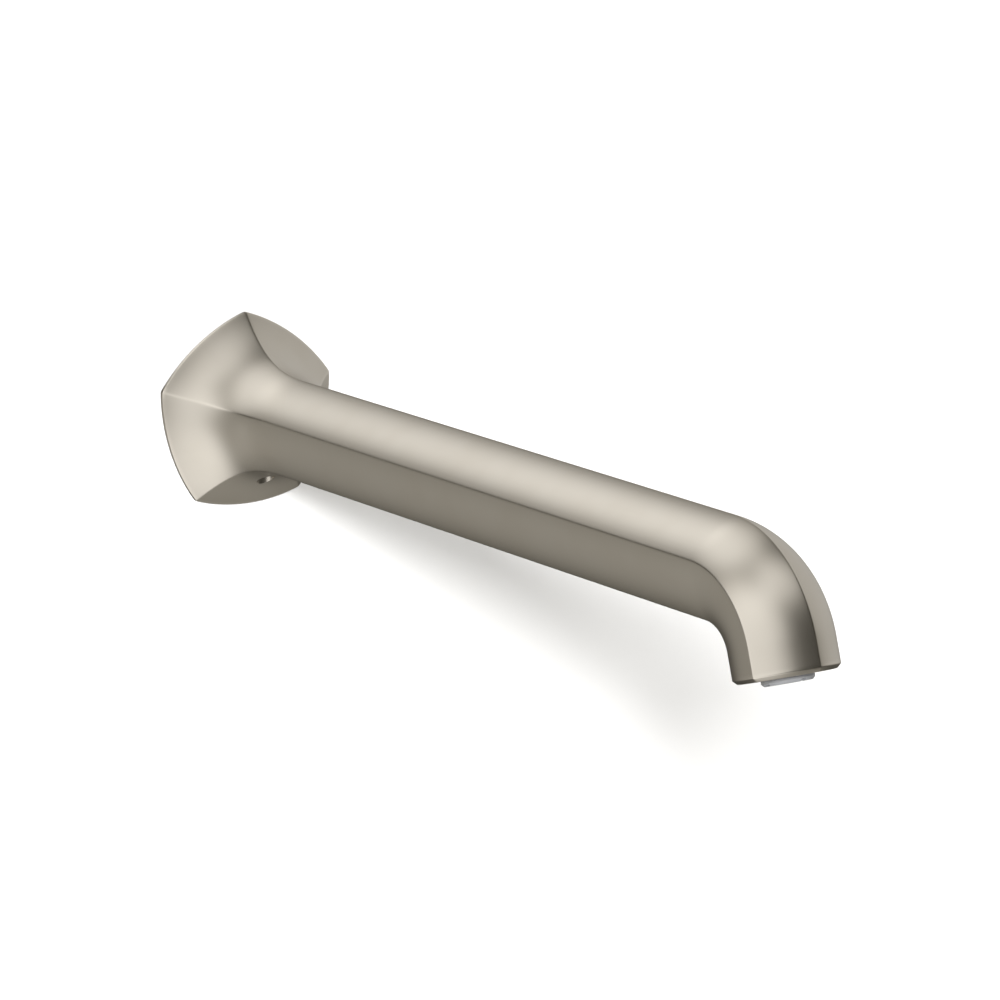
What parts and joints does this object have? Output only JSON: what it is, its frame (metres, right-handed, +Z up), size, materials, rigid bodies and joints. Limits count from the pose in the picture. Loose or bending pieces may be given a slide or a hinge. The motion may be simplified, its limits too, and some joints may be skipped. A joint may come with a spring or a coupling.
{
  "type": "wall mounted bath spout",
  "caption": "Five-sided wall mounted bath spout with a flared flange, a long straight tube, a bend down to an aerated outlet, and a slip-on wall adapter with a set screw.",
  "frame": {"origin": "where the spout's supply axis meets the finished wall, in the middle of the flange", "axes": "+Y into the wall along the supply thread, -Y out along the spout, +Z up, +X to the right for somebody facing the wall"},
  "size_m": [0.0666, 0.3213, 0.0666],
  "materials": {
    "satin_nickel": "cast brass with a satin brushed nickel plating",
    "raw_brass": "turned brass",
    "copper": "drawn copper tube",
    "stainless": "stainless steel",
    "black_rubber": "black nitrile rubber",
    "dark_foam": "dark closed-cell foam",
    "grey_plastic": "grey acetal",
    "white_plastic": "white acetal"
  },
  "bodies": {
    "adapter": {"wall_adapter": "raw_brass", "adapter_rear_o_ring": "black_rubber", "adapter_front_o_ring": "black_rubber"},
    "spout": {"spout_body": "satin_nickel", "wall_gasket": "dark_foam", "inlet_socket": "raw_brass", "retaining_ring": "stainless", "waterway_tube": "copper", "tube_rear_o_ring": "black_rubber", "tube_front_o_ring": "black_rubber", "tube_spacer_rear": "white_plastic", "tube_spacer_front": "white_plastic", "outlet_nozzle": "raw_brass"},
    "screw_pad": {"set_screw_pad": "raw_brass"},
    "set_screw": {"set_screw": "stainless"},
    "washer": {"aerator_washer": "black_rubber"},
    "aerator": {"aerator_shell": "grey_plastic", "flow_straightener": "grey_plastic", "outlet_mesh": "stainless", "mixing_core": "white_plastic", "jet_plate": "white_plastic", "inlet_strainer": "white_plastic"}
  },
  "joints": [
    {"name": "spout_slide", "type": "slide", "parent": "adapter", "child": "spout", "axis": [0, -1, 0], "range_m": [0, 0.045]},
    {"name": "screw_feed", "type": "slide", "parent": "spout", "child": "screw_pad", "axis": [0, 0, -1], "range_m": [0, 0.003]},
    {"name": "screw_turn", "type": "hinge", "parent": "screw_pad", "child": "set_screw", "pos_m": [0, -0.0137, -0.0168], "axis": [0, 0, -1], "range_deg": [0, 1081]},
    {"name": "aerator_feed", "type": "slide", "parent": "spout", "child": "washer", "axis": [0, -0.3024, -0.9532], "range_m": [0, 0.005]},
    {"name": "aerator_turn", "type": "hinge", "parent": "washer", "child": "aerator", "pos_m": [0, -0.30539, -0.02664], "axis": [0, -0.3024, -0.9532], "range_deg": [0, 1801]}
  ],
  "couplings": [
    {"joint": "screw_turn", "follows": "screw_feed", "rad_per_m": 6283.2},
    {"joint": "aerator_turn", "follows": "aerator_feed", "rad_per_m": 6283.2}
  ]
}
